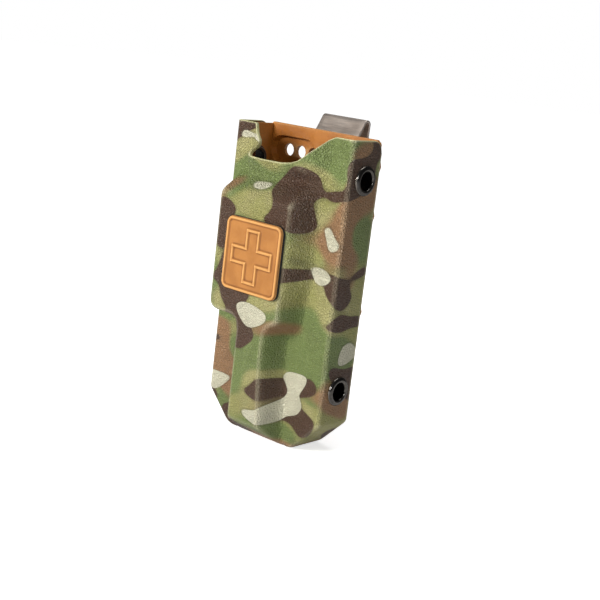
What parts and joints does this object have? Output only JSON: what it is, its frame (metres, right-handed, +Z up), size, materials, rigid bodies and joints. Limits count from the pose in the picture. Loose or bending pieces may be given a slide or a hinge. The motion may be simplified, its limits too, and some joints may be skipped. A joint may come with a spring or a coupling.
{
  "type": "tourniquet carrier case",
  "caption": "Rigid moulded belt carrier for a folded tourniquet: open-topped ribbed front shell riveted to a padded back plate, with a sprung steel belt clip and a raised cross badge.",
  "frame": {"origin": "centre of the object's box seen from above, at the underside the case stands on", "axes": "+Z up, from the closed bottom to the open mouth; -Y out of the front, where the badge is; +Y towards the belt clip; +X to the right as seen from the front"},
  "size_m": [0.0834, 0.0642, 0.1729],
  "materials": {
    "camouflage_thermoplastic": null,
    "coyote_thermoplastic": "thermoformed sheet, fine leather grain",
    "coyote_rubber": "soft moulded badge, matt",
    "adhesive_foam": "black hook-and-loop backing",
    "black_nickel": "dark plated rolled eyelet, polished",
    "brushed_spring_steel": "brushed along its length",
    "black_oxide_steel": "black oxide, satin",
    "black_rubber": "matt"
  },
  "bodies": {
    "case": {"front_shell": "camouflage_thermoplastic", "back_plate": "coyote_thermoplastic", "badge_adhesive_pad": "adhesive_foam", "cross_badge": "coyote_rubber", "eyelet_right_upper": "black_nickel", "eyelet_right_lower": "black_nickel", "eyelet_left_upper": "black_nickel", "eyelet_left_lower": "black_nickel", "eyelet_washer_right_upper": "black_nickel", "eyelet_washer_right_lower": "black_nickel", "eyelet_washer_left_upper": "black_nickel", "eyelet_washer_left_lower": "black_nickel", "belt_clip_fixed_leg": "brushed_spring_steel", "rubber_washer_upper": "black_rubber", "rubber_washer_middle": "black_rubber", "rubber_washer_lower": "black_rubber", "binding_post_upper": "black_oxide_steel", "binding_post_middle": "black_oxide_steel", "binding_post_lower": "black_oxide_steel", "clip_screw_upper": "black_oxide_steel", "clip_screw_middle": "black_oxide_steel", "clip_screw_lower": "black_oxide_steel"},
    "clip_spring": {"belt_clip_spring_leg": "brushed_spring_steel"}
  },
  "joints": [
    {"name": "clip_spring_bend", "type": "hinge", "parent": "case", "child": "clip_spring", "pos_m": [0, 0.0247, 0.1723], "axis": [1, 0, 0], "range_deg": [0, 6], "stiffness_Nm_per_rad": 4}
  ]
}
